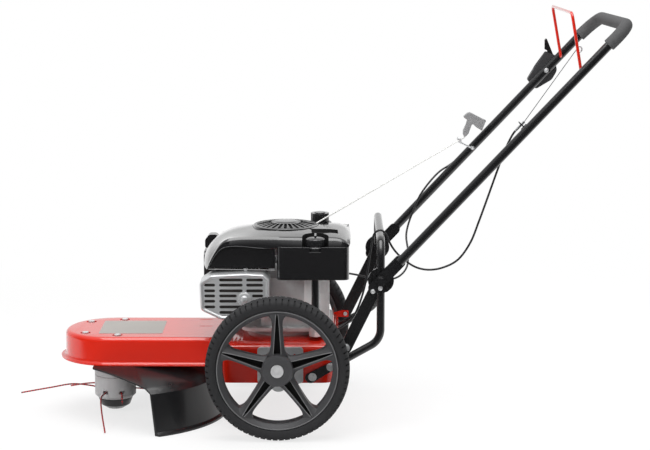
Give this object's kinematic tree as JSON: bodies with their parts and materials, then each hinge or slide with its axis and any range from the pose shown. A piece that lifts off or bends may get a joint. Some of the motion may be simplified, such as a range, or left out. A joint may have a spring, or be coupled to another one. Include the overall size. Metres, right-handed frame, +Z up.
{
  "type": "wheeled string trimmer",
  "caption": "Walk-behind string trimmer on spoked wheels, with an engine belt-driving a line head under a pressed deck, a curved debris shield and a folding tube handlebar.",
  "frame": {"origin": "on the ground, under the middle of the wheel axle", "axes": "+X to the rear, towards the handlebar; +Y to the right side of the machine; +Z up"},
  "size_m": [1.5298, 0.61, 1.0432],
  "materials": {
    "red_paint": "gloss",
    "black_paint": "satin",
    "zinc": "zinc plated",
    "steel": "satin",
    "cast_alloy": "as cast",
    "grey_pressing": "silver paint",
    "black_shell": "satin",
    "dark_moulding": "fine grain",
    "grey_moulding": "fine grain",
    "tread": "matt",
    "foam": "foam",
    "belt": "matt",
    "cable_skin": "satin",
    "line": "twisted",
    "rope": "braided"
  },
  "bodies": {
    "chassis": {"deck": "red_paint", "deck_bolts": "zinc", "debris_shield": "black_shell", "axle_plates": "zinc", "stub_axles": "zinc", "lower_loop": "black_paint", "brace_bars": "black_paint", "loop_bolts": "zinc", "pivot_discs": "black_shell", "pivot_bolts": "zinc", "spindle_housing": "cast_alloy", "spindle_bearings": "steel", "crankcase": "cast_alloy", "engine_cylinder": "cast_alloy", "cylinder_head": "cast_alloy", "spark_plug": "black_shell", "muffler": "grey_pressing", "muffler_guard": "grey_pressing", "guard_bolts": "zinc", "blower_housing": "black_shell", "recoil_cover": "dark_moulding", "fuel_tank": "black_shell", "oil_fill_tube": "black_shell", "air_cleaner": "black_shell", "carburettor": "cast_alloy", "drive_belt": "belt", "bail_cable": "cable_skin", "throttle_cable": "cable_skin", "starter_rope": "rope"},
    "left_wheel": {"left_rim": "dark_moulding", "left_tyre": "tread", "left_hub_cap": "dark_moulding"},
    "right_wheel": {"right_rim": "dark_moulding", "right_tyre": "tread", "right_hub_cap": "dark_moulding"},
    "crank": {"crankshaft": "steel", "flywheel": "cast_alloy", "drive_pulley": "cast_alloy"},
    "head": {"spindle": "steel", "spindle_pulley": "cast_alloy", "trimmer_head": "grey_moulding", "line_front": "line", "line_far": "line", "line_near": "line", "line_stub": "line", "line_rear": "line"},
    "glide": {"glide_cap": "black_shell"},
    "idler": {"idler_arm": "steel"},
    "idler_wheel": {"idler_pulley": "cast_alloy"},
    "handlebar": {"upper_handlebar": "black_paint", "handle_grip": "foam", "control_box": "dark_moulding", "cable_bracket": "black_paint", "rope_guide": "zinc", "bail_wire": "zinc"},
    "throttle": {"throttle_lever": "black_shell"},
    "bail_frame": {"bail": "red_paint"},
    "starter": {"starter_handle": "grey_moulding"},
    "tank_cap": {"fuel_cap": "black_shell"},
    "oil_cap": {"dipstick": "black_shell"}
  },
  "joints": [
    {"name": "left_wheel_spin", "type": "hinge", "parent": "chassis", "child": "left_wheel", "pos_m": [0, -0.27, 0.178], "axis": [0, 1, 0], "continuous": true},
    {"name": "right_wheel_spin", "type": "hinge", "parent": "chassis", "child": "right_wheel", "pos_m": [0, 0.27, 0.178], "axis": [0, 1, 0], "continuous": true},
    {"name": "crank_spin", "type": "hinge", "parent": "chassis", "child": "crank", "pos_m": [0.015, 0, 0.3], "axis": [0, 0, 1], "continuous": true},
    {"name": "head_spin", "type": "hinge", "parent": "chassis", "child": "head", "pos_m": [-0.43, 0, 0.1], "axis": [0, 0, 1], "continuous": true},
    {"name": "glide_spin", "type": "hinge", "parent": "head", "child": "glide", "pos_m": [-0.43, 0, 0.02], "axis": [0, 0, 1], "continuous": true},
    {"name": "idler_swing", "type": "hinge", "parent": "chassis", "child": "idler", "pos_m": [-0.0979, -0.0745, 0.178], "axis": [0, 0, -1], "range_deg": [0, 8], "deforming": ["drive_belt"]},
    {"name": "idler_spin", "type": "hinge", "parent": "idler", "child": "idler_wheel", "pos_m": [-0.1719, -0.0745, 0.168], "axis": [0, 0, 1], "continuous": true},
    {"name": "handle_fold", "type": "hinge", "parent": "chassis", "child": "handlebar", "pos_m": [0.254, 0, 0.39], "axis": [0, -1, 0], "range_deg": [-8, 120], "deforming": ["bail_cable", "throttle_cable", "starter_rope"]},
    {"name": "throttle_swing", "type": "hinge", "parent": "handlebar", "child": "throttle", "pos_m": [0.70675, 0.2642, 0.86337], "axis": [0, 1, 0], "range_deg": [-20, 20]},
    {"name": "bail_swing", "type": "hinge", "parent": "handlebar", "child": "bail_frame", "pos_m": [0.73524, 0, 0.90247], "axis": [0, 1, 0], "range_deg": [0, 44], "stiffness_Nm_per_rad": 0.8, "springref_deg": -17.19, "deforming": ["bail_wire", "drive_belt"]},
    {"name": "starter_pull", "type": "slide", "parent": "handlebar", "child": "starter", "axis": [0.6594, -0.2997, 0.6894], "range_m": [0, 0.3], "stiffness_N_per_m": 12, "springref_m": -0.25, "deforming": ["starter_rope"]},
    {"name": "fuel_cap_turn", "type": "hinge", "parent": "chassis", "child": "tank_cap", "pos_m": [0.101, 0.1, 0.49], "axis": [0, 0, 1], "range_deg": [0, 90]},
    {"name": "dipstick_lift", "type": "slide", "parent": "chassis", "child": "oil_cap", "axis": [0, 0, 1], "range_m": [0, 0.16]}
  ],
  "couplings": [
    {"joint": "head_spin", "follows": "crank_spin", "ratio": 0.7292},
    {"joint": "idler_swing", "follows": "bail_swing", "ratio": 0.18}
  ]
}
